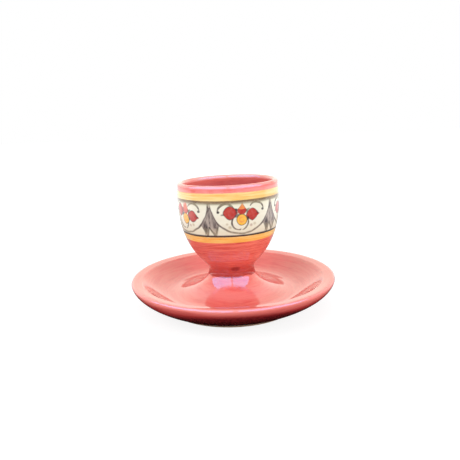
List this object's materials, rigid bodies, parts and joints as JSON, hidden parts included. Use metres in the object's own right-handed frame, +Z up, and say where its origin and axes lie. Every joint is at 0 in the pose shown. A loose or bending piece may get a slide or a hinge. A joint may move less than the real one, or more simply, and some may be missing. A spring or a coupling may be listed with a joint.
{
  "type": "egg cup",
  "caption": "Footed round egg cup standing on its own fixed saucer, glazed earthenware with painted bands round the bowl.",
  "frame": {"origin": "centre of the foot ring, on the surface that the object stands on", "axes": "+Z up along the axis of the cup and saucer; -Y faces the viewer of the picture, +X to its right"},
  "size_m": [0.112, 0.112, 0.069],
  "materials": {
    "saucer_clay": "unglazed red earthenware, bare at the foot ring",
    "cup_clay": "unglazed red earthenware, covered by glaze",
    "slip": "fired slip, covered by glaze",
    "foot_well_coral": "glossy coral glaze",
    "saucer_under_coral": "glossy coral glaze, brushed round",
    "saucer_top_coral": "glossy coral glaze, brushed round",
    "cup_coral": "glossy coral glaze, brushed round",
    "lower_yellow": "glossy orange-yellow glaze",
    "lower_line": "painted dark line under glaze",
    "frieze_ivory": "glossy ivory glaze with a painted leaf and flower frieze",
    "upper_line": "painted dark line under glaze",
    "upper_yellow": "glossy yellow glaze",
    "lip_coral": "glossy coral glaze, thin and pale along the lip",
    "lining_red": "glossy deep coral glaze"
  },
  "bodies": {
    "root": {"saucer_body": "saucer_clay", "cup_body": "cup_clay", "luting_slip": "slip", "foot_well_glaze": "foot_well_coral", "saucer_under_glaze": "saucer_under_coral", "saucer_top_glaze": "saucer_top_coral", "cup_base_glaze": "cup_coral", "lower_yellow_band": "lower_yellow", "lower_dark_line": "lower_line", "ivory_frieze": "frieze_ivory", "upper_dark_line": "upper_line", "upper_yellow_band": "upper_yellow", "lip_glaze": "lip_coral", "cup_lining_glaze": "lining_red"}
  },
  "joints": []
}
